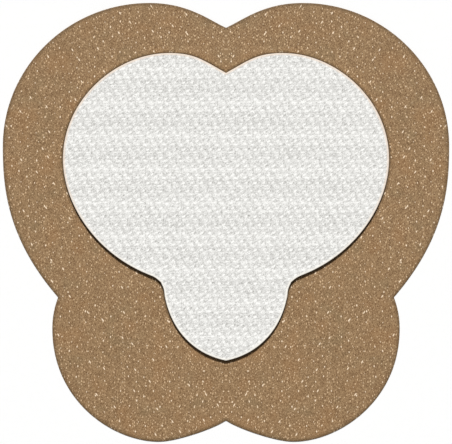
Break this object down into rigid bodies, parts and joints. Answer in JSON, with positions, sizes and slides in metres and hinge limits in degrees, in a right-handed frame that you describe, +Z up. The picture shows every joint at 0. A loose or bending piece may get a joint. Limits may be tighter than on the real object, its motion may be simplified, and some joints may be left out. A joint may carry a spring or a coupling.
{
  "type": "sacral foam dressing",
  "caption": "Flat wound dressing for the sacrum: a lobed tan adhesive border on a thin backing film, around a thicker white foam pad with a pointed tail.",
  "frame": {"origin": "on the table under the middle of the dressing: the bottom centre of its box", "axes": "+Z up out of the skin side, +Y towards the two upper lobes, +X across to the right"},
  "size_m": [0.23, 0.226, 0.0046],
  "materials": {
    "film": "thin beige polyurethane film with a soft satin sheen",
    "adhesive": "tan adhesive layer, mottled brown with small cream specks, dull satin",
    "foam": "white matt soft foam with a small staggered emboss"
  },
  "bodies": {
    "root": {"backing_film": "film", "adhesive_border": "adhesive", "foam_pad": "foam"}
  },
  "joints": []
}
